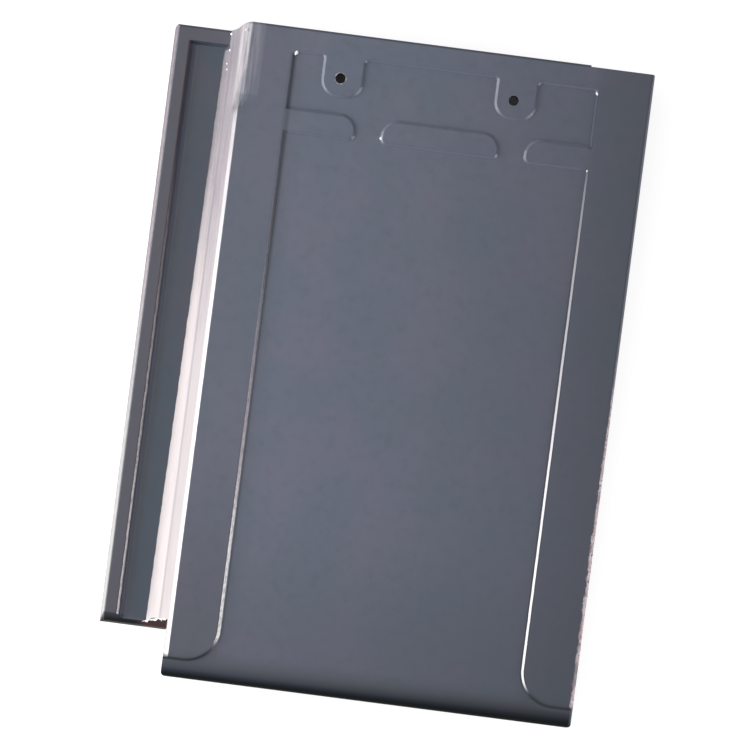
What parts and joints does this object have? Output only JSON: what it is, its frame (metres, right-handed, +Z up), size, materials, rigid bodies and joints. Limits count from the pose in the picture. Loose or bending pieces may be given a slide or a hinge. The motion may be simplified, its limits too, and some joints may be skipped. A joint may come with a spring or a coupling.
{
  "type": "flat interlocking clay roof tile",
  "caption": "Flat glazed clay roof tile with a grooved side underlap, a cover flap, a shallow sunk field with weather bars, nail holes at the head and batten nibs underneath.",
  "frame": {"origin": "centre of the tile's footprint, at the level of the batten nibs' lower ends", "axes": "+X across the tile from the underlap to the cover flap, +Y along it from the foot to the head, +Z up out of the weathered face"},
  "size_m": [0.3, 0.41, 0.036],
  "materials": {
    "glazed_clay": "satin"
  },
  "bodies": {
    "root": {"tile": "glazed_clay"}
  },
  "joints": []
}
